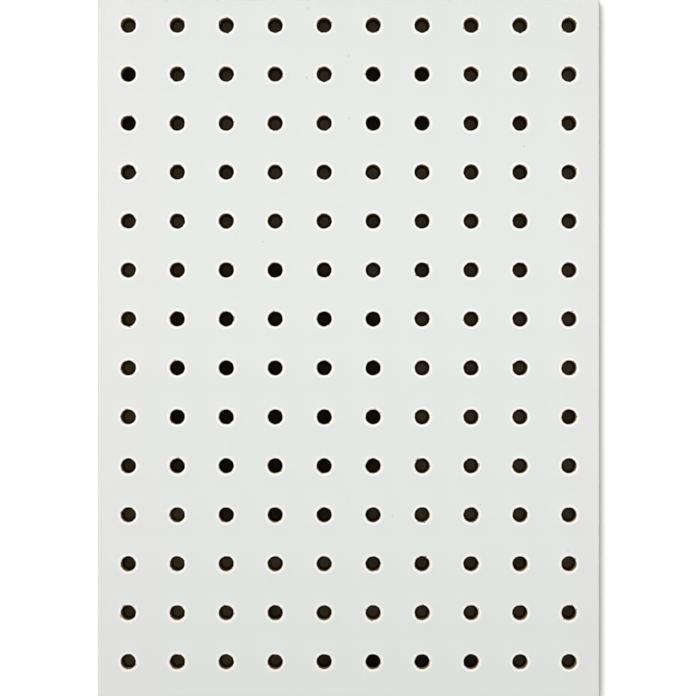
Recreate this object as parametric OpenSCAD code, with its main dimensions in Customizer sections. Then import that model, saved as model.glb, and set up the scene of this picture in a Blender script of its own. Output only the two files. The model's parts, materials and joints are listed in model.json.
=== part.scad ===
// Perforated fibreboard panel: one sawn sheet, painted on its front face and
// drilled right through on a square grid. It lies flat, front face up, with
// its origin in the middle of the back face and its top edge towards +Y.

/* [Panel] */
// Width of the panel, along X
panel_w = 256; // [100:1:1200]
// Height of the panel, along Y
panel_h = 356; // [100:1:2400]
// Thickness of the board
panel_t = 6; // [3:0.5:12]
// Width of the small bevel that breaks each long arris
arris = 0.4; // [0.2:0.1:1]

/* [Perforation] */
// Distance between hole centres, across and down
pitch = 25; // [15:0.5:50]
// Diameter of each hole's straight bore
hole_d = 7.6; // [4:0.1:10]
// Radius of the painted rim where the front face turns into a hole
rim_r = 0.4; // [0.2:0.1:1]
// Left edge to the centres of the first column
first_column = 15.5; // [10:0.5:40]
// Top edge to the centres of the first row
first_row = 13; // [10:0.5:40]
// Least land between the rim of a last hole and the panel's edge
edge_land = 4; // [2:0.5:20]

/* [Hidden] */
$fn = 48;

// How far a cutter runs past the face that it cuts
overcut = 1;

hole_r = hole_d / 2;
rim_reach = hole_r + rim_r;

// Holes that fit between the first one and the land at the far edge
function holes_along(length, first) =
    1 + floor((length - first - rim_reach - edge_land) / pitch);

columns = holes_along(panel_w, first_column);
rows = holes_along(panel_h, first_row);

// Centre of a hole, counted from the top left corner
function hole_x(column) = -panel_w / 2 + first_column + column * pitch;
function hole_y(row) = panel_h / 2 - first_row - row * pitch;

// Section through the sheet, width by thickness, with its four arrises broken
module sheet_section(width) {
    side = width / 2;
    polygon([
        [-side + arris, 0],
        [side - arris, 0],
        [side, arris],
        [side, panel_t - arris],
        [side - arris, panel_t],
        [-side + arris, panel_t],
        [-side, panel_t - arris],
        [-side, arris]
    ]);
}

// The sawn sheet before drilling: both sections carried across it
module sawn_sheet() {
    intersection() {
        rotate([90, 0, 0])
            linear_extrude(panel_h, center = true) sheet_section(panel_w);
        rotate([90, 0, 90])
            linear_extrude(panel_w, center = true) sheet_section(panel_h);
    }
}

// Half section of what a hole takes away: its bore and the round of its rim
module hole_half_section() {
    translate([0, -overcut]) square([hole_r, panel_t + 2 * overcut]);
    difference() {
        translate([0, panel_t - rim_r]) square([rim_reach, rim_r + overcut]);
        translate([rim_reach, panel_t - rim_r]) circle(r = rim_r);
    }
}

module hole() {
    rotate_extrude() hole_half_section();
}

module perforated_panel() {
    color("whitesmoke")
        difference() {
            sawn_sheet();
            for (column = [0 : columns - 1], row = [0 : rows - 1])
                translate([hole_x(column), hole_y(row), 0]) hole();
        }
}

perforated_panel();
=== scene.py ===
"""Dresses a white-faced, perforated fibreboard panel that lies flat with its painted face up."""

import json
import logging
import math
from contextlib import contextmanager
from dataclasses import dataclass, field
from enum import Enum, IntEnum
from typing import Callable, Iterator, Optional, Union

import bmesh
import bpy
import numpy as np
from mathutils import Matrix, Vector


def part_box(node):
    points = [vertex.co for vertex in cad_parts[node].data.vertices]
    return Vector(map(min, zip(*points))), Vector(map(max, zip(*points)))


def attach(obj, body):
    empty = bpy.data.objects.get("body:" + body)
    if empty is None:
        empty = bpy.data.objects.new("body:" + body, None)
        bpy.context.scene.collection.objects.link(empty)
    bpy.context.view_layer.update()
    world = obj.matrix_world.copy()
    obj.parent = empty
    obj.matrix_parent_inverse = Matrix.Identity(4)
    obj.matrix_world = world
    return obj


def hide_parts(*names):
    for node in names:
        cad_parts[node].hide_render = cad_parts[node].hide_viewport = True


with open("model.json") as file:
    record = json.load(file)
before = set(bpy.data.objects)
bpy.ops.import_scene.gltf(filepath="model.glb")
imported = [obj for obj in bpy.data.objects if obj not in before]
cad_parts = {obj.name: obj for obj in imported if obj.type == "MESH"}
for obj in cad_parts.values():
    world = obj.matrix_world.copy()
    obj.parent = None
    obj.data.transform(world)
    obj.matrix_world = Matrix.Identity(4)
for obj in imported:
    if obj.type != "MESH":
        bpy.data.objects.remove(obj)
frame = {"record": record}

LOG = logging.getLogger("perforated_panel")

MM = 0.001
PANEL_NODE = "perforated_panel"
PANEL_BODY = "root"
CHIP_ATTRIBUTE = "chip"

# Points that are nearer than this count as one
TOUCH = 0.01 * MM
# A reach is made this much longer to take in what lies right at its end
SLACK = 1.05

Colour = tuple[float, float, float]
Triple = tuple[float, float, float]
Pair = tuple[float, float]
Span = tuple[float, float]
Feed = Union[float, bpy.types.NodeSocket]
Tint = Union[Colour, bpy.types.NodeSocket]


class Zone(IntEnum):
    """Where a face of the board lies, which is also its material slot."""

    FACE = 0
    BORE = 1
    EDGE = 2
    BACK = 3


class Push(Enum):
    """Which way a texture moves a vertex, as the Displace modifier names it."""

    EVERY_WAY = "RGB_TO_XYZ"
    OUTWARD = "NORMAL"
    UPWARD = "Z"


def scaled(span: Span, size: float) -> Span:
    """Turns a span of shares of a size into lengths."""
    return (span[0] * size, span[1] * size)


def select_only(piece: bpy.types.Object) -> None:
    """Selects one object, and no other, and makes it the active one.

    Args:
        piece: The object.
    """
    bpy.ops.object.select_all(action="DESELECT")
    bpy.context.view_layer.objects.active = piece
    piece.select_set(True)


@contextmanager
def edit_mode(piece: bpy.types.Object) -> Iterator[None]:
    """Opens one mesh in edit mode and closes it again.

    Args:
        piece: The mesh object to edit.

    Returns:
        A context in which the mesh operators act on that object alone.
    """
    select_only(piece)
    bpy.ops.object.mode_set(mode="EDIT")
    bpy.ops.mesh.select_mode(type="EDGE")
    try:
        yield
    finally:
        bpy.ops.object.mode_set(mode="OBJECT")


def pick_edges(piece: bpy.types.Object, wanted: Callable[[bmesh.types.BMEdge], bool]) -> None:
    """Selects the edges of a mesh in edit mode that pass a test, and no others.

    Args:
        piece: The mesh object that is in edit mode.
        wanted: The test that an edge has to pass.
    """
    bpy.ops.mesh.select_all(action="DESELECT")
    mesh = bmesh.from_edit_mesh(piece.data)
    for edge in mesh.edges:
        if wanted(edge):
            edge.select_set(True)
    bmesh.update_edit_mesh(piece.data)


def apply_modifiers(piece: bpy.types.Object) -> None:
    """Applies every modifier of a piece, in order.

    Args:
        piece: The object that has the modifiers.
    """
    select_only(piece)
    for name in [modifier.name for modifier in piece.modifiers]:
        bpy.ops.object.modifier_apply(modifier=name)


def vertex_places(piece: bpy.types.Object) -> np.ndarray:
    """Reads the places of a mesh's vertices.

    Args:
        piece: The mesh object.

    Returns:
        One row of X, Y and Z for each vertex.
    """
    places = np.empty(len(piece.data.vertices) * 3, dtype=np.float32)
    piece.data.vertices.foreach_get("co", places)
    return places.reshape(-1, 3)


@dataclass(frozen=True)
class HoleGrid:
    """The square grid of holes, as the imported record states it."""

    pitch: float
    radius: float
    columns: int
    rows: int
    centre_x: float
    centre_y: float

    @classmethod
    def from_record(cls, record: dict) -> "HoleGrid":
        """Reads the grid from the record's mounts.

        Args:
            record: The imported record.

        Returns:
            The grid, in metres.
        """
        mounts = {mount["name"]: mount for mount in record["mounts"]}
        corners = mounts["corner_screws"]
        upper = mounts["hook_hole_column3_row4"]
        lower = mounts["hook_hole_column3_row5"]
        pitch = upper["pos_m"][1] - lower["pos_m"][1]
        return cls(
            pitch=pitch,
            radius=upper["dims"]["r_mm"] * MM,
            columns=round(corners["dims"]["spacing_x_mm"] * MM / pitch) + 1,
            rows=round(corners["dims"]["spacing_y_mm"] * MM / pitch) + 1,
            centre_x=corners["pos_m"][0],
            centre_y=corners["pos_m"][1],
        )

    @property
    def first_x(self) -> float:
        """Centre of the left column."""
        return self.centre_x - (self.columns - 1) * self.pitch / 2

    @property
    def first_y(self) -> float:
        """Centre of the bottom row."""
        return self.centre_y - (self.rows - 1) * self.pitch / 2

    @property
    def width(self) -> float:
        """Width of all the cells together."""
        return self.columns * self.pitch

    @property
    def height(self) -> float:
        """Height of all the cells together."""
        return self.rows * self.pitch


@dataclass(frozen=True)
class Grain:
    """A noise pattern on a surface.

    The scale is the number of patches in a metre, or in a unit of the stretched place where there is a
    stretch. Finer octaves are laid over the patches, and bend says how far the pattern is distorted.
    """

    scale: float
    octaves: float = 2.0
    bend: float = 0.0
    stretch: Optional[Triple] = None


class NodeGraph:
    """Lays out the shader nodes of one material on Object coordinates."""

    # Places of the colour sockets on a Mix node, whose other sockets share their names
    COLOUR_A = 6
    COLOUR_B = 7
    COLOUR_OUT = 2

    def __init__(self, name: str) -> None:
        """Starts a material that has a Principled shader and the place on the piece.

        Args:
            name: The material's name.
        """
        self.material = bpy.data.materials.new(name)
        self.material.use_nodes = True
        self.tree = self.material.node_tree
        self.shader = self.tree.nodes["Principled BSDF"]
        self.place = self.add("ShaderNodeTexCoord").outputs["Object"]

    def add(self, kind: str, **settings: object) -> bpy.types.Node:
        """Adds a node and sets its own options.

        Args:
            kind: The node's type name.
            **settings: The options, by name.

        Returns:
            The new node.
        """
        node = self.tree.nodes.new(kind)
        for name, value in settings.items():
            setattr(node, name, value)
        return node

    def feed(self, target: bpy.types.NodeSocket, value: Union[Feed, Colour]) -> None:
        """Links a socket to another one, or sets its plain value.

        Args:
            target: The socket that is fed.
            value: Another socket, a number, or a colour, which is made opaque.
        """
        if isinstance(value, bpy.types.NodeSocket):
            self.tree.links.new(value, target)
        elif isinstance(value, tuple):
            target.default_value = (*value, 1.0)
        else:
            target.default_value = value

    def dress(
        self,
        colour: Tint,
        roughness: Feed,
        shine: float,
        normal: Optional[bpy.types.NodeSocket] = None,
    ) -> bpy.types.Material:
        """Feeds the shader.

        Args:
            colour: The surface's colour.
            roughness: How rough it is.
            shine: How strongly it reflects, on the shader's own scale.
            normal: Its relief, if it has any.

        Returns:
            The material.
        """
        self.feed(self.shader.inputs["Base Color"], colour)
        self.feed(self.shader.inputs["Roughness"], roughness)
        self.feed(self.shader.inputs["Specular IOR Level"], shine)
        if normal is not None:
            self.feed(self.shader.inputs["Normal"], normal)
        return self.material

    def maths(self, operation: str, first: Feed, second: Feed = 0.0) -> bpy.types.NodeSocket:
        """Adds one Math node.

        Args:
            operation: The node's operation.
            first: Its first value.
            second: Its second value, where it has one.

        Returns:
            The result's socket.
        """
        node = self.add("ShaderNodeMath", operation=operation)
        self.feed(node.inputs[0], first)
        self.feed(node.inputs[1], second)
        return node.outputs[0]

    def noise(self, grain: Grain) -> bpy.types.NodeSocket:
        """Adds a noise pattern.

        Args:
            grain: The pattern's sizes.

        Returns:
            The pattern, from 0 to 1.
        """
        place = self.place
        if grain.stretch is not None:
            mapping = self.add("ShaderNodeMapping")
            self.feed(mapping.inputs["Vector"], place)
            mapping.inputs["Scale"].default_value = grain.stretch
            place = mapping.outputs["Vector"]
        node = self.add("ShaderNodeTexNoise")
        self.feed(node.inputs["Vector"], place)
        node.inputs["Scale"].default_value = grain.scale
        node.inputs["Detail"].default_value = grain.octaves
        node.inputs["Distortion"].default_value = grain.bend
        return node.outputs["Fac"]

    def between(
        self, value: Feed, span: Span, low: Feed = 0.0, high: float = 1.0
    ) -> bpy.types.NodeSocket:
        """Maps a value's range smoothly on to another, and holds it at the ends.

        Args:
            value: The value to map.
            span: Where the result is low, and where it is high.
            low: The result at the start of the span.
            high: The result at its end.

        Returns:
            The mapped value.
        """
        node = self.add("ShaderNodeMapRange", interpolation_type="SMOOTHSTEP")
        self.feed(node.inputs["Value"], value)
        node.inputs["From Min"].default_value, node.inputs["From Max"].default_value = span
        self.feed(node.inputs["To Min"], low)
        node.inputs["To Max"].default_value = high
        return node.outputs["Result"]

    def blend(self, share: Feed, first: Tint, second: Tint) -> bpy.types.NodeSocket:
        """Mixes two colours.

        Args:
            share: How much of the second colour shows.
            first: The colour at a share of 0.
            second: The colour at a share of 1.

        Returns:
            The mixed colour.
        """
        node = self.add("ShaderNodeMix", data_type="RGBA")
        self.feed(node.inputs["Factor"], share)
        self.feed(node.inputs[self.COLOUR_A], first)
        self.feed(node.inputs[self.COLOUR_B], second)
        return node.outputs[self.COLOUR_OUT]

    def bump(
        self, height: Feed, distance: float, under: Optional[bpy.types.NodeSocket] = None
    ) -> bpy.types.NodeSocket:
        """Turns a pattern into relief.

        Args:
            height: The pattern.
            distance: How high its highest point stands, in metres.
            under: A relief that this one is laid over.

        Returns:
            The changed normal.
        """
        node = self.add("ShaderNodeBump")
        self.feed(node.inputs["Height"], height)
        node.inputs["Distance"].default_value = distance
        if under is not None:
            self.feed(node.inputs["Normal"], under)
        return node.outputs["Normal"]

    def along(self, axis: str) -> bpy.types.NodeSocket:
        """Gives the place along one axis.

        Args:
            axis: X, Y or Z. Along Z the place is the height above the board's back face.

        Returns:
            The place, in metres.
        """
        node = self.add("ShaderNodeSeparateXYZ")
        self.feed(node.inputs[0], self.place)
        return node.outputs[axis]

    def depth(self, top: float, grain: Grain, wander: float) -> bpy.types.NodeSocket:
        """Gives the depth below a height, with a ragged line at each depth.

        Args:
            top: The height.
            grain: The noise that makes the line ragged.
            wander: How far the noise can carry it.

        Returns:
            The depth, in metres.
        """
        ragged = self.maths("MULTIPLY", self.noise(grain), wander)
        return self.maths("SUBTRACT", top, self.maths("SUBTRACT", self.along("Z"), ragged))

    def from_hole(self, grid: HoleGrid) -> bpy.types.NodeSocket:
        """Gives the distance from the centre of the nearest hole.

        Args:
            grid: The grid of holes.

        Returns:
            The distance, in metres.
        """
        squares = []
        for axis, first in (("X", grid.first_x), ("Y", grid.first_y)):
            from_first = self.maths("SUBTRACT", self.along(axis), first)
            from_nearest = self.maths("PINGPONG", from_first, grid.pitch / 2)
            squares.append(self.maths("MULTIPLY", from_nearest, from_nearest))
        return self.maths("SQRT", self.maths("ADD", *squares))

    def from_point(self, point: Triple) -> bpy.types.NodeSocket:
        """Gives the distance from a point.

        Args:
            point: The point.

        Returns:
            The distance, in metres.
        """
        node = self.add("ShaderNodeVectorMath", operation="DISTANCE")
        self.feed(node.inputs[0], self.place)
        node.inputs[1].default_value = point
        return node.outputs["Value"]


@dataclass(frozen=True)
class Spots:
    """Small soft spots scattered over a surface.

    There are so many cells in a metre, and a share of them hold one spot each. The reach of a spot is a
    share of its cell, and the core is the share of that reach at which the spot begins to fade.
    """

    cells: float
    reach: float
    share: float
    strength: float
    core: float = 0.45

    def amount(self, graph: NodeGraph) -> bpy.types.NodeSocket:
        """Finds how much of the spots' colour shows.

        Args:
            graph: The surface's nodes.

        Returns:
            The amount, from 0 to the spots' strength.
        """
        pattern = graph.add("ShaderNodeTexVoronoi", voronoi_dimensions="2D")
        graph.feed(pattern.inputs["Vector"], graph.place)
        pattern.inputs["Scale"].default_value = self.cells
        fade = (self.reach * self.core, self.reach)
        dot = graph.between(pattern.outputs["Distance"], fade, self.strength, 0.0)
        chance = graph.add("ShaderNodeSeparateColor")
        graph.feed(chance.inputs[0], pattern.outputs["Color"])
        return graph.maths("MULTIPLY", dot, graph.maths("LESS_THAN", chance.outputs[0], self.share))


@dataclass(frozen=True)
class WhitePaint:
    """Matt white paint on the front face, with a paler ring round each hole that is a painted
    highlight.
    """

    grid: HoleGrid
    top: float
    rim_round: float
    green_white: Colour = (0.786, 0.811, 0.786)
    plain_white: Colour = (0.801, 0.803, 0.793)
    # A painted highlight: the paler white of the ring round each hole
    highlight_white: Colour = (0.985, 0.975, 0.905)
    thin_paint: Colour = (0.64, 0.47, 0.27)
    bare_fibre: Colour = (0.50, 0.36, 0.21)
    speck_grey: Colour = (0.36, 0.33, 0.30)
    # The plainer white begins this far from a line down the face, and wanders inward
    middle_x: float = 10.0 * MM
    side_span: Span = (102.0 * MM, 128.0 * MM)
    side_wander: float = 20.0 * MM
    side_grain: Grain = Grain(14.0, 3.0)
    # Distances past the wall of a hole
    highlight_rise: Span = (0.25 * MM, 0.55 * MM)
    highlight_fall: Span = (0.85 * MM, 1.75 * MM)
    mark_fall: Span = (1.2 * MM, 1.8 * MM)
    # Shares of the rim's round
    thin_depth: Span = (0.4, 1.0)
    thin_reach: Span = (1.0, 1.5)
    thin_wander: float = 0.5
    thin_grain: Grain = Grain(1100.0, 3.0)
    specks: Spots = Spots(45.0, 0.022, 0.07, 0.45)
    marks: Spots = Spots(200.0, 0.12, 0.06, 0.6)
    chip_span: Span = (0.2, 0.7)
    sheen_grain: Grain = Grain(220.0, 3.0)
    sheen_span: Span = (0.3, 0.7)
    roughness: Span = (0.46, 0.58)
    shine: float = 0.35
    peel_grain: Grain = Grain(750.0)
    peel_height: float = 0.012 * MM
    wave_grain: Grain = Grain(60.0)
    wave_height: float = 0.03 * MM

    def material(self) -> bpy.types.Material:
        """Builds the paint.

        Returns:
            The paint's material.
        """
        graph = NodeGraph("white_paint")
        past_wall = graph.maths("SUBTRACT", graph.from_hole(self.grid), self.grid.radius)
        colour = graph.blend(self._sides(graph), self.green_white, self.plain_white)
        # Painted highlight: a paler ring on the land round each hole
        rising = graph.between(past_wall, self.highlight_rise)
        falling = graph.between(past_wall, self.highlight_fall, 1.0, 0.0)
        colour = graph.blend(graph.maths("MULTIPLY", rising, falling), colour, self.highlight_white)
        colour = graph.blend(self._thin(graph, past_wall), colour, self.thin_paint)
        colour = graph.blend(self.specks.amount(graph), colour, self.speck_grey)
        beside_hole = graph.between(past_wall, self.mark_fall, 1.0, 0.0)
        marks = graph.maths("MULTIPLY", self.marks.amount(graph), beside_hole)
        colour = graph.blend(marks, colour, self.bare_fibre)
        chip = graph.add("ShaderNodeAttribute", attribute_name=CHIP_ATTRIBUTE)
        bare = graph.between(chip.outputs["Fac"], self.chip_span)
        colour = graph.blend(bare, colour, self.bare_fibre)
        sheen = graph.between(graph.noise(self.sheen_grain), self.sheen_span, *self.roughness)
        peel = graph.bump(graph.noise(self.peel_grain), self.peel_height)
        waves = graph.bump(graph.noise(self.wave_grain), self.wave_height, peel)
        return graph.dress(colour, sheen, self.shine, waves)

    def _sides(self, graph: NodeGraph) -> bpy.types.NodeSocket:
        """Finds the stretches beside the left and right edges, where the paint is less green.

        Args:
            graph: The paint's nodes.

        Returns:
            How much of the plainer white shows.
        """
        from_middle = graph.maths("ABSOLUTE", graph.maths("SUBTRACT", graph.along("X"), self.middle_x))
        wander = graph.maths("MULTIPLY", graph.noise(self.side_grain), self.side_wander)
        return graph.between(graph.maths("ADD", from_middle, wander), self.side_span)

    def _thin(self, graph: NodeGraph, past_wall: bpy.types.NodeSocket) -> bpy.types.NodeSocket:
        """Finds where the paint runs thin, low on the round of a hole's rim.

        Args:
            graph: The paint's nodes.
            past_wall: The distance past the wall of the nearest hole.

        Returns:
            How much of the thin paint shows.
        """
        depth = graph.depth(self.top, self.thin_grain, self.rim_round * self.thin_wander)
        low = graph.between(depth, scaled(self.thin_depth, self.rim_round))
        at_hole = graph.between(past_wall, scaled(self.thin_reach, self.rim_round), 1.0, 0.0)
        return graph.maths("MULTIPLY", low, at_hole)


@dataclass(frozen=True)
class DrilledFibre:
    """Bare fibre on the wall of a drilled hole, lighter near the front face and darker deeper in:
    partly stray paint, partly painted shade in the hole.
    """

    top: float
    pale: Colour = (0.47, 0.28, 0.115)
    dark: Colour = (0.25, 0.13, 0.045)
    # Lighter tan on the upper wall: partly stray paint, partly painted shade, as the wall below it is
    # darker deeper in the hole
    stray_paint: Colour = (0.70, 0.51, 0.29)
    score_grain: Grain = Grain(1.0, 2.0, 0.4, (260.0, 260.0, 2600.0))
    fibre_grain: Grain = Grain(1500.0, 4.0, 1.5)
    fibre_share: float = 0.5
    tone_span: Span = (0.32, 0.68)
    paint_grain: Grain = Grain(700.0, 3.0)
    paint_wander: float = 1.4 * MM
    paint_depth: Span = (0.9 * MM, 2.4 * MM)
    roughness: float = 0.85
    shine: float = 0.2
    relief: float = 0.12 * MM

    def material(self) -> bpy.types.Material:
        """Builds the wall of a hole, scored round by the drill.

        Returns:
            The wall's material.
        """
        graph = NodeGraph("drilled_fibre")
        scores = graph.noise(self.score_grain)
        tone = graph.blend(self.fibre_share, scores, graph.noise(self.fibre_grain))
        colour = graph.blend(graph.between(tone, self.tone_span), self.dark, self.pale)
        # Painted shade, partly also stray paint: lighter tan near the front face, darker fibre deeper
        # in the hole
        depth = graph.depth(self.top, self.paint_grain, self.paint_wander)
        painted = graph.between(depth, self.paint_depth, 1.0, 0.0)
        colour = graph.blend(painted, colour, self.stray_paint)
        return graph.dress(colour, self.roughness, self.shine, graph.bump(tone, self.relief))


@dataclass(frozen=True)
class SawnFibre:
    """Bare fibre on the sawn edges, darker beside each face, with stray paint near the front."""

    thickness: float
    pale: Colour = (0.47, 0.335, 0.20)
    dark: Colour = (0.29, 0.19, 0.105)
    stray_paint: Colour = (0.76, 0.69, 0.58)
    saw_grain: Grain = Grain(1.0, 2.0, 0.2, (900.0, 900.0, 90.0))
    fibre_grain: Grain = Grain(1.0, 5.0, 0.6, (1300.0, 1300.0, 3600.0))
    fibre_share: float = 0.6
    tone_span: Span = (0.3, 0.7)
    # Shares of the board's thickness, from its middle
    skin_span: Span = (0.30, 0.5)
    skin_tone: float = 0.6
    paint_grain: Grain = Grain(500.0, 4.0)
    paint_wander: float = 1.6 * MM
    paint_depth: Span = (0.7 * MM, 1.7 * MM)
    paint_cover: float = 0.9
    roughness: float = 0.88
    shine: float = 0.2
    relief: float = 0.16 * MM

    def material(self) -> bpy.types.Material:
        """Builds the sawn edge.

        Returns:
            The edge's material.
        """
        graph = NodeGraph("sawn_fibre")
        saw_marks = graph.noise(self.saw_grain)
        tone = graph.blend(self.fibre_share, saw_marks, graph.noise(self.fibre_grain))
        colour = graph.blend(graph.between(tone, self.tone_span), self.dark, self.pale)
        above_middle = graph.maths("SUBTRACT", graph.along("Z"), self.thickness / 2)
        from_middle = graph.maths("ABSOLUTE", above_middle)
        skin = graph.between(from_middle, scaled(self.skin_span, self.thickness), 0.0, self.skin_tone)
        colour = graph.blend(skin, colour, self.dark)
        depth = graph.depth(self.thickness, self.paint_grain, self.paint_wander)
        painted = graph.between(depth, self.paint_depth, self.paint_cover, 0.0)
        colour = graph.blend(painted, colour, self.stray_paint)
        return graph.dress(colour, self.roughness, self.shine, graph.bump(tone, self.relief))


@dataclass(frozen=True)
class BareBack:
    """Sanded bare fibre on the panel's back, with dark flecks in it."""

    pale: Colour = (0.46, 0.31, 0.175)
    dark: Colour = (0.36, 0.235, 0.128)
    fleck: Colour = (0.20, 0.12, 0.06)
    felt_grain: Grain = Grain(1100.0, 5.0, 1.0)
    sanding_grain: Grain = Grain(1.0, 2.0, 0.0, (1800.0, 45.0, 45.0))
    sanding_share: float = 0.3
    cloud_grain: Grain = Grain(22.0, 3.0)
    cloud_share: float = 0.2
    tone_span: Span = (0.36, 0.64)
    fleck_grain: Grain = Grain(900.0, 1.0, 0.8)
    fleck_span: Span = (0.68, 0.76)
    fleck_strength: float = 0.7
    sheen_span: Span = (0.3, 0.7)
    roughness: Span = (0.68, 0.84)
    shine: float = 0.25
    relief: float = 0.06 * MM

    def material(self) -> bpy.types.Material:
        """Builds the back face.

        Returns:
            The back's material.
        """
        graph = NodeGraph("bare_back")
        felt = graph.noise(self.felt_grain)
        sanded = graph.blend(self.sanding_share, felt, graph.noise(self.sanding_grain))
        tone = graph.blend(self.cloud_share, sanded, graph.noise(self.cloud_grain))
        colour = graph.blend(graph.between(tone, self.tone_span), self.dark, self.pale)
        flecks = graph.between(graph.noise(self.fleck_grain), self.fleck_span, 0.0, self.fleck_strength)
        colour = graph.blend(flecks, colour, self.fleck)
        sheen = graph.between(felt, self.sheen_span, *self.roughness)
        return graph.dress(colour, sheen, self.shine, graph.bump(tone, self.relief))


@dataclass
class PanelBoard:
    """The drilled and painted sheet, modelled from one cell of its grid."""

    grid: HoleGrid
    width: float
    height: float
    thickness: float
    sides: int = 48
    arris: float = 0.4 * MM
    rim_round: float = 0.4 * MM
    rim_steps: int = 3
    bead_reach: float = 1.65 * MM
    bead_crest: float = 0.6
    bead_height: float = 0.04 * MM
    # Rings of the broken rim at the back, each outward and upward, as shares of the breakout
    breakout: float = 0.3 * MM
    breakout_rings: tuple[Pair, ...] = ((0.0, 1.5), (0.4, 0.5), (1.0, 0.0), (4.0, 0.0))
    # Heights of the rings on a hole's wall and on the sawn edges, as shares of the whole
    wall_heights: tuple[float, ...] = (0.70, 0.38)
    edge_heights: tuple[float, ...] = (0.66, 0.34)
    # Size of the wander of the rims, and its strength on the front and on the back
    rag_size: float = 1.8 * MM
    rag_octaves: int = 2
    front_rag: float = 0.52 * MM
    back_rag: float = 0.5 * MM
    # A chip is broken out where its noise is past the start of the span
    chip_size: float = 1.6 * MM
    chip_octaves: int = 1
    chip_span: Span = (0.70, 0.82)
    chip_inward: float = 0.22 * MM
    chip_down: float = 0.24 * MM
    smooth_angle: float = math.radians(40)
    piece: Optional[bpy.types.Object] = field(default=None, init=False)

    def build(self) -> bpy.types.Object:
        """Models the board and dresses it.

        Returns:
            The finished board.
        """
        self._cell()
        self._repeat()
        self._margins()
        self._roughen()
        self._dress()
        return self.piece

    def hole_profile(self) -> list[Pair]:
        """Lays out the rings of one hole, from the front land to the back land.

        Returns:
            The radius and the height of each ring.
        """
        radius = self.grid.radius
        top = self.thickness
        rim = radius + self.rim_round
        rings = [
            (radius + self.bead_reach, top),
            (radius + self.bead_reach * self.bead_crest, top + self.bead_height),
            (rim, top),
        ]
        for step in range(1, self.rim_steps + 1):
            turn = math.pi / 2 * step / self.rim_steps
            drop = self.rim_round * (1 - math.cos(turn))
            rings.append((rim - self.rim_round * math.sin(turn), top - drop))
        rings += [(radius, top * share) for share in self.wall_heights]
        for outward, upward in self.breakout_rings:
            rings.append((radius + self.breakout * outward, self.breakout * upward))
        return rings

    def _cell(self) -> None:
        """Models one cell of the grid: a square of board with its hole, round the origin."""
        cuts = self.sides // 4 - 1
        rings = self.hole_profile()
        bpy.ops.object.select_all(action="DESELECT")
        bpy.ops.mesh.primitive_plane_add(size=self.grid.pitch)
        self.piece = bpy.context.active_object
        self.piece.name = "painted_board"
        with edit_mode(self.piece):
            bpy.ops.mesh.select_all(action="SELECT")
            bpy.ops.transform.translate(value=(0, 0, self.thickness))
            bpy.ops.mesh.delete(type="ONLY_FACE")
            bpy.ops.mesh.select_all(action="SELECT")
            bpy.ops.mesh.subdivide(number_cuts=cuts)
            bpy.ops.mesh.primitive_circle_add(
                vertices=self.sides, radius=rings[0][0], location=(0, 0, rings[0][1])
            )
            bpy.ops.mesh.select_all(action="SELECT")
            bpy.ops.mesh.bridge_edge_loops()
            front_ring = rings[0][0] * SLACK
            pick_edges(
                self.piece,
                lambda edge: all(vertex.co.xy.length < front_ring for vertex in edge.verts),
            )
            for (radius, height), (last_radius, last_height) in zip(rings[1:], rings):
                drop = (0, 0, height - last_height)
                ratio = radius / last_radius
                bpy.ops.mesh.extrude_edges_move(TRANSFORM_OT_translate={"value": drop})
                bpy.ops.transform.resize(value=(ratio, ratio, 1), center_override=(0, 0, height))
            bpy.ops.mesh.primitive_plane_add(size=self.grid.pitch, location=(0, 0, 0))
            bpy.ops.mesh.delete(type="ONLY_FACE")
            pick_edges(
                self.piece,
                lambda edge: edge.is_wire and all(abs(vertex.co.z) < TOUCH for vertex in edge.verts),
            )
            bpy.ops.mesh.subdivide(number_cuts=cuts)
            back_ring = rings[-1][0] * SLACK
            pick_edges(
                self.piece,
                lambda edge: edge.is_wire
                or (edge.is_boundary and all(vertex.co.xy.length < back_ring for vertex in edge.verts)),
            )
            bpy.ops.mesh.bridge_edge_loops()
        self._mark_cell()

    def _mark_cell(self) -> None:
        """Gives each face of the cell the slot of its zone."""
        for _ in Zone:
            self.piece.data.materials.append(None)
        for polygon in self.piece.data.polygons:
            if polygon.center.z > self.thickness - self.rim_round:
                polygon.material_index = Zone.FACE
            elif polygon.center.z > TOUCH:
                polygon.material_index = Zone.BORE
            else:
                polygon.material_index = Zone.BACK

    def _repeat(self) -> None:
        """Repeats the cell over the grid and moves it to its place."""
        pitch = self.grid.pitch
        for count, step in ((self.grid.columns, (pitch, 0, 0)), (self.grid.rows, (0, pitch, 0))):
            modifier = self.piece.modifiers.new("repeat", "ARRAY")
            modifier.count = count
            modifier.use_relative_offset = False
            modifier.use_constant_offset = True
            modifier.constant_offset_displace = step
            modifier.use_merge_vertices = True
            modifier.merge_threshold = TOUCH
        apply_modifiers(self.piece)
        with edit_mode(self.piece):
            bpy.ops.mesh.select_all(action="SELECT")
            bpy.ops.transform.translate(value=(self.grid.first_x, self.grid.first_y, 0))

    def _grow(self, before: Pair, after: Pair, drop: float) -> None:
        """Extrudes the selected outline to another size and height, about the panel's middle.

        Args:
            before: Width and height of the outline as it is.
            after: Its new width and height.
            drop: How far it goes down.
        """
        bpy.ops.mesh.extrude_edges_move(TRANSFORM_OT_translate={"value": (0, 0, -drop)})
        ratios = (after[0] / before[0], after[1] / before[1], 1)
        bpy.ops.transform.resize(value=ratios, center_override=(0, 0, 0))

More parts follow.
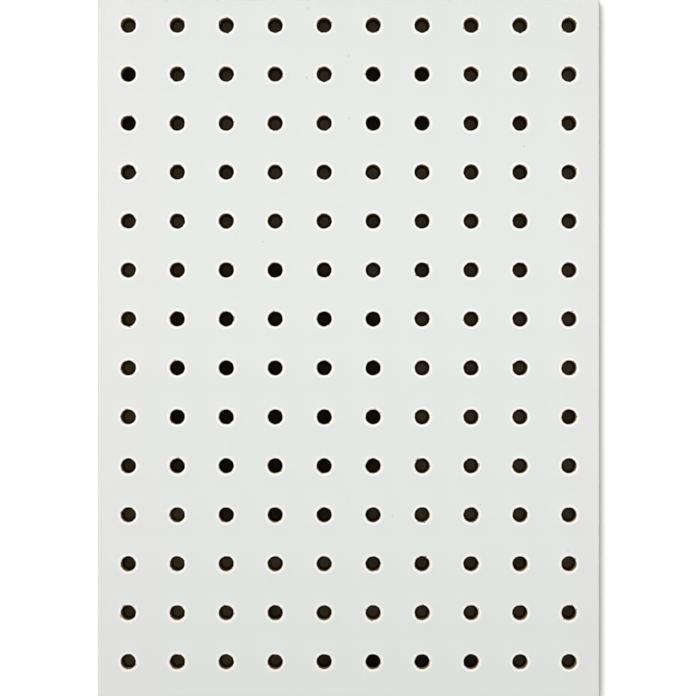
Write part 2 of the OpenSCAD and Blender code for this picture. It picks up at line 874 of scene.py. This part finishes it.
    def _margins(self) -> None:
        """Carries the outer cells out to the panel's edges and closes the edges."""
        middle = self.thickness / 2
        sheet = (self.width, self.height)
        face = (self.width - 2 * self.arris, self.height - 2 * self.arris)
        with edit_mode(self.piece):
            pick_edges(
                self.piece,
                lambda edge: edge.is_boundary and all(vertex.co.z > middle for vertex in edge.verts),
            )
            to_middle = (0, -self.grid.centre_y, 0)
            bpy.ops.mesh.extrude_edges_move(TRANSFORM_OT_translate={"value": to_middle})
            ratios = (face[0] / self.grid.width, face[1] / self.grid.height, 1)
            bpy.ops.transform.resize(value=ratios, center_override=(self.grid.centre_x, 0, 0))
            self._grow(face, sheet, self.arris)
            straight = self.thickness - 2 * self.arris
            last = 1.0
            for share in (*self.edge_heights, 0.0):
                drop = (0, 0, (share - last) * straight)
                bpy.ops.mesh.extrude_edges_move(TRANSFORM_OT_translate={"value": drop})
                last = share
            self._grow(sheet, face, self.arris)
            pick_edges(self.piece, lambda edge: edge.is_boundary)
            bpy.ops.mesh.bridge_edge_loops()
            bpy.ops.mesh.select_all(action="SELECT")
            bpy.ops.mesh.normals_make_consistent(inside=False)
        self._mark_margins()

    def _mark_margins(self) -> None:
        """Gives the faces outside the grid of cells the slot of their zone."""
        reach_x = self.grid.width / 2
        reach_y = self.grid.height / 2
        for polygon in self.piece.data.polygons:
            x, y, z = polygon.center
            if abs(x - self.grid.centre_x) < reach_x and abs(y - self.grid.centre_y) < reach_y:
                continue
            if z > self.thickness - self.arris:
                polygon.material_index = Zone.FACE
            elif z > TOUCH:
                polygon.material_index = Zone.EDGE
            else:
                polygon.material_index = Zone.BACK

    def _group(self, name: str, wanted: np.ndarray) -> str:
        """Makes a vertex group of the vertices that a mask picks.

        Args:
            name: The group's name.
            wanted: One truth value for each vertex.

        Returns:
            The group's name.
        """
        group = self.piece.vertex_groups.new(name=name)
        group.add(np.flatnonzero(wanted).tolist(), 1.0, "REPLACE")
        return group.name

    def _from_hole(self, places: np.ndarray) -> np.ndarray:
        """Gives each place's distance from the centre of the nearest hole.

        Args:
            places: One row for each place.

        Returns:
            One distance for each place.
        """
        first = np.array((self.grid.first_x, self.grid.first_y), dtype=np.float32)
        steps = (places[:, :2] - first) / self.grid.pitch
        return np.linalg.norm((steps - np.round(steps)) * self.grid.pitch, axis=1)

    def _displace(self, texture: bpy.types.Texture, group: str, push: Push, strength: float) -> None:
        """Adds a modifier that moves the vertices of a group by a texture.

        Args:
            texture: The texture, read at each vertex's own place.
            group: The vertex group.
            push: Which way a vertex moves.
            strength: How far apart the texture's darkest and brightest parts move it. The middle grey
                stays put where it moves every way, and the black elsewhere.
        """
        modifier = self.piece.modifiers.new(group, "DISPLACE")
        modifier.texture = texture
        modifier.texture_coords = "LOCAL"
        modifier.direction = push.value
        modifier.strength = strength
        modifier.vertex_group = group
        if push is not Push.EVERY_WAY:
            modifier.mid_level = 0.0

    def _roughen(self) -> None:
        """Makes the holes' edges ragged, as a drill leaves them, and chips the paint on some."""
        places = vertex_places(self.piece)
        round_reach = self.rim_round * SLACK
        near = self._from_hole(places) < self.grid.radius + round_reach
        front = near & (places[:, 2] > self.thickness - round_reach)
        breakout_height = self.breakout * self.breakout_rings[0][1]
        back = near & (places[:, 2] < breakout_height * SLACK)
        ragged = bpy.data.textures.new("ragged", "CLOUDS")
        ragged.noise_scale = self.rag_size
        ragged.noise_depth = self.rag_octaves
        ragged.cloud_type = "COLOR"
        for name, mask, strength in (
            ("front_rims", front, self.front_rag),
            ("back_rims", back, self.back_rag),
        ):
            self._displace(ragged, self._group(name, mask), Push.EVERY_WAY, strength)
        apply_modifiers(self.piece)
        self._chip(front)

    def _chip(self, rims: np.ndarray) -> None:
        """Breaks small chips out of the front rims and notes where they are.

        Args:
            rims: One truth value for each vertex, true on the front rims.
        """
        before = vertex_places(self.piece)
        chips = bpy.data.textures.new("chips", "CLOUDS")
        chips.noise_scale = self.chip_size
        chips.noise_depth = self.chip_octaves
        chips.use_color_ramp = True
        for stop, position, grey in zip(chips.color_ramp.elements, self.chip_span, (0.0, 1.0)):
            stop.position = position
            stop.color = (grey, grey, grey, 1.0)
        group = self._group("chips", rims)
        self._displace(chips, group, Push.OUTWARD, -self.chip_inward)
        self._displace(chips, group, Push.UPWARD, -self.chip_down)
        apply_modifiers(self.piece)
        moved = np.linalg.norm(vertex_places(self.piece) - before, axis=1)
        depth = np.clip(moved / (self.chip_inward + self.chip_down), 0.0, 1.0)
        attribute = self.piece.data.attributes.new(CHIP_ATTRIBUTE, "FLOAT", "POINT")
        attribute.data.foreach_set("value", depth.astype(np.float32))

    def _dress(self) -> None:
        """Smooths the rounds and gives each zone its finish."""
        select_only(self.piece)
        bpy.ops.object.shade_smooth_by_angle(angle=self.smooth_angle)
        finishes = {
            Zone.FACE: WhitePaint(self.grid, self.thickness, self.rim_round),
            Zone.BORE: DrilledFibre(self.thickness),
            Zone.EDGE: SawnFibre(self.thickness),
            Zone.BACK: BareBack(),
        }
        for zone, finish in finishes.items():
            self.piece.data.materials[zone] = finish.material()
        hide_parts(PANEL_NODE)
        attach(self.piece, PANEL_BODY)


@dataclass
class Studio:
    """The floor, the dark card behind the holes, the lamps and the camera."""

    grid: HoleGrid
    board_width: float
    board_height: float
    board_top: float
    # The floor, with a glow on camera rays that is painted light: faint beside the board, none in a
    # painted contact shadow along its outline, more towards the left and the bottom, and full far from
    # it
    floor_drop: float = 0.4 * MM
    floor_size: float = 12.0
    floor_white: Colour = (0.88, 0.90, 0.92)
    floor_glow: float = 0.16
    painted_light_left: float = 0.12
    painted_light_bottom: float = 0.03
    painted_contact_shadow: Span = (0.8 * MM, 1.3 * MM)
    floor_rise: Span = (0.15, 0.80)
    # The card, whose faint tone is a glow of painted light, darker near the holes' walls as painted
    # shade and in some round spots, each X, Y and reach
    card_inset: float = 3.0 * MM
    card_drop: float = 0.25 * MM
    card_glow_brown: Colour = (0.027, 0.0195, 0.0115)
    card_black: Colour = (0.0005, 0.0004, 0.0003)
    card_roughness: float = 0.9
    card_grain: Grain = Grain(30.0, 4.0)
    card_span: Span = (0.30, 0.70)
    card_tone: Span = (0.55, 1.25)
    painted_shade_span: Span = (1.9 * MM, 2.9 * MM)
    painted_shade_tone: float = 0.17
    dark_spots: tuple[Triple, ...] = (
        (-38.0 * MM, -23.0 * MM, 70.0 * MM),
        (-112.0 * MM, 128.0 * MM, 20.0 * MM),
        (25.0 * MM, 128.0 * MM, 22.0 * MM),
        (25.0 * MM, -195.0 * MM, 54.0 * MM),
    )
    spot_edge: Span = (0.85, 1.1)
    spot_tone: float = 0.2
    # The light, where a sum of about 1 on the board shows a colour as it is written
    room_light: float = 0.229
    key_light: float = 0.50
    key_slope: Pair = (-0.43, 0.48)
    key_distance: float = 7.9
    key_size: Pair = (2.8, 3.7)
    over_light: float = 0.58
    over_place: Triple = (0.20, 0.053, 0.55)
    over_size: Pair = (1.5, 0.13)
    # The camera, and the width that it sees at the front face
    field_of_view: float = 355.3 * MM
    camera_distance: float = 1.05
    sensor_mm: float = 36.0
    clip_span: Span = (0.01, 50.0)
    aim_x: float = -0.35 * MM
    aim_y: float = 0.2 * MM

    def build(self) -> None:
        """Sets up everything round the object."""
        self._floor()
        self._card()
        self._world()
        self._lamps()
        self._camera()

    def _sheet(self, name: str, width: float, height: float, drop: float) -> bpy.types.Object:
        """Lays a flat sheet below the panel.

        Args:
            name: The sheet's name.
            width: Its size along X.
            height: Its size along Y.
            drop: How far it lies below the panel's back.

        Returns:
            The sheet.
        """
        bpy.ops.object.select_all(action="DESELECT")
        bpy.ops.mesh.primitive_plane_add(size=1.0, location=(0, 0, -drop))
        sheet = bpy.context.active_object
        sheet.name = name
        sheet.scale = (width, height, 1.0)
        bpy.ops.object.transform_apply(location=True, rotation=False, scale=True)
        return sheet

    def _floor(self) -> None:
        """Lays a white floor that keeps the panel's shadow, with a glow on camera rays that is painted
        light and shade beside the panel.
        """
        floor = self._sheet("floor", self.floor_size, self.floor_size, self.floor_drop)
        graph = NodeGraph("white_floor")
        path = graph.add("ShaderNodeLightPath")
        seen = graph.maths("MAXIMUM", path.outputs["Is Camera Ray"], path.outputs["Is Glossy Ray"])
        seen = graph.maths("MAXIMUM", seen, path.outputs["Is Transmission Ray"])
        # The glow rises to full white far from the panel; beside it, it is painted light and painted
        # shadow
        from_middle = graph.from_point((0.0, 0.0, 0.0))
        level = graph.between(from_middle, self.floor_rise, self._painted_glow(graph), 1.0)
        graph.feed(graph.shader.inputs["Emission Color"], (1.0, 1.0, 1.0))
        graph.feed(graph.shader.inputs["Emission Strength"], graph.maths("MULTIPLY", seen, level))
        floor.data.materials.append(graph.dress(self.floor_white, 1.0, 0.0))

    def _painted_glow(self, graph: NodeGraph) -> bpy.types.NodeSocket:
        """Finds the floor's glow beside the panel, which is painted light, with none under the panel
        and a painted contact shadow along its outline.

        Args:
            graph: The floor's nodes.

        Returns:
            The glow, painted light that is highest on the left, the side that the key lamp lights, and
            a little higher at the bottom.
        """
        side = self.board_width / 2
        end = self.board_height / 2
        across = graph.along("X")
        upward = graph.along("Y")
        past_side = graph.maths("SUBTRACT", graph.maths("ABSOLUTE", across), side)
        past_end = graph.maths("SUBTRACT", graph.maths("ABSOLUTE", upward), end)
        past = graph.maths("MAXIMUM", past_side, past_end)
        # Painted contact shadow: no glow within a short reach of the panel's outline
        plain = graph.between(past, self.painted_contact_shadow, 0.0, self.floor_glow)
        # Painted light: more glow towards the left and the bottom, which washes out the shade there
        left = graph.between(across, (-side, side), self.painted_light_left, 0.0)
        below = graph.between(upward, (-end, end), self.painted_light_bottom, 0.0)
        outside = graph.maths("GREATER_THAN", past, 0.0)
        more = graph.maths("MULTIPLY", graph.maths("ADD", left, below), outside)
        return graph.maths("ADD", plain, more)

    def _card(self) -> None:
        """Lays a dark card under the panel.

        Its faint tone is a glow of painted light that only the camera sees, with painted shade near the
        holes' walls, so no lamp draws a crescent on it.
        """
        margin = 2 * self.card_inset
        card = self._sheet(
            "dark_card", self.board_width - margin, self.board_height - margin, self.card_drop
        )
        graph = NodeGraph("dark_card")
        tone = graph.between(graph.noise(self.card_grain), self.card_span, *self.card_tone)
        # Painted shade: the glow is darker near the holes' walls than in their middles
        middle = graph.between(graph.from_hole(self.grid), self.painted_shade_span, 1.0, self.painted_shade_tone)
        tone = graph.maths("MULTIPLY", tone, middle)
        for x, y, reach in self.dark_spots:
            from_spot = graph.from_point((x, y, 0.0))
            spot = graph.between(from_spot, scaled(self.spot_edge, reach), self.spot_tone, 1.0)
            tone = graph.maths("MULTIPLY", tone, spot)
        # The brown glow on camera rays is painted light; the card's own colour is near black
        glow = graph.blend(tone, self.card_black, self.card_glow_brown)
        path = graph.add("ShaderNodeLightPath")
        graph.feed(graph.shader.inputs["Emission Color"], glow)
        graph.feed(graph.shader.inputs["Emission Strength"], path.outputs["Is Camera Ray"])
        card.data.materials.append(graph.dress(self.card_black, self.card_roughness, 0.0))

    def _world(self) -> None:
        """Fills the room with plain soft light, white where it is seen."""
        world = bpy.data.worlds.new("studio")
        bpy.context.scene.world = world
        world.use_nodes = True
        tree = world.node_tree
        backdrop = tree.nodes["Background"]
        backdrop.inputs["Color"].default_value = (1.0, 1.0, 1.0, 1.0)
        path = tree.nodes.new("ShaderNodeLightPath")
        level = tree.nodes.new("ShaderNodeMapRange")
        level.inputs["To Min"].default_value = self.room_light
        level.inputs["To Max"].default_value = 1.0
        tree.links.new(path.outputs["Is Camera Ray"], level.inputs["Value"])
        tree.links.new(level.outputs["Result"], backdrop.inputs["Strength"])

    def _lamp(self, name: str, place: Vector, aim: Vector, size: Pair, share: float) -> None:
        """Hangs one soft lamp.

        Args:
            name: The lamp's name.
            place: Where it hangs.
            aim: The point that it faces.
            size: Its width and its height.
            share: The light that a small lamp of this power would send to that point, where 1 shows a
                colour as it is written. A lamp that is large beside its distance sends less.
        """
        way = place - aim
        bpy.ops.object.light_add(type="AREA", location=place)
        lamp = bpy.context.active_object
        lamp.name = name
        facing = way.normalized()
        across = Vector((0, 1, 0)).cross(facing).normalized()
        upward = facing.cross(across)
        lamp.rotation_euler = Matrix((across, upward, facing)).transposed().to_euler()
        lamp.data.shape = "RECTANGLE"
        lamp.data.size, lamp.data.size_y = size
        # One pi is for the flat lamp's spread and one for that of a matt face
        lamp.data.energy = share * math.pi**2 * way.length_squared / facing.z
        lamp.visible_camera = False

    def _lamps(self) -> None:
        """Hangs a far key lamp at the upper left and a near lamp over the panel."""
        key = Vector((*self.key_slope, 1.0)).normalized() * self.key_distance
        self._lamp("key_lamp", key, Vector((0, 0, 0)), self.key_size, self.key_light)
        over = Vector(self.over_place)
        self._lamp("over_lamp", over, Vector((over.x, over.y, 0)), self.over_size, self.over_light)

    def _camera(self) -> None:
        """Looks straight down on the panel, as the photograph does."""
        eye = (self.aim_x, self.aim_y, self.board_top + self.camera_distance)
        bpy.ops.object.camera_add(location=eye)
        camera = bpy.context.active_object
        camera.rotation_euler = (0.0, 0.0, 0.0)
        camera.data.sensor_width = self.sensor_mm
        camera.data.lens = self.sensor_mm * self.camera_distance / self.field_of_view
        camera.data.clip_start, camera.data.clip_end = self.clip_span
        scene = bpy.context.scene
        scene.camera = camera
        scene.view_settings.view_transform = "Standard"


def main() -> None:
    """Builds the dressed panel and its studio."""
    logging.basicConfig(level=logging.INFO, format="%(name)s: %(message)s")
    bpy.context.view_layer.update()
    low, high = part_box(PANEL_NODE)
    grid = HoleGrid.from_record(frame["record"])
    board = PanelBoard(grid, high.x - low.x, high.y - low.y, high.z - low.z)
    piece = board.build()
    LOG.info("%s: %d faces", piece.name, len(piece.data.polygons))
    studio = Studio(grid, board.width, board.height, board.thickness)
    studio.build()
    LOG.info("studio: floor, card, two lamps and camera")


if __name__ == "__main__":
    main()
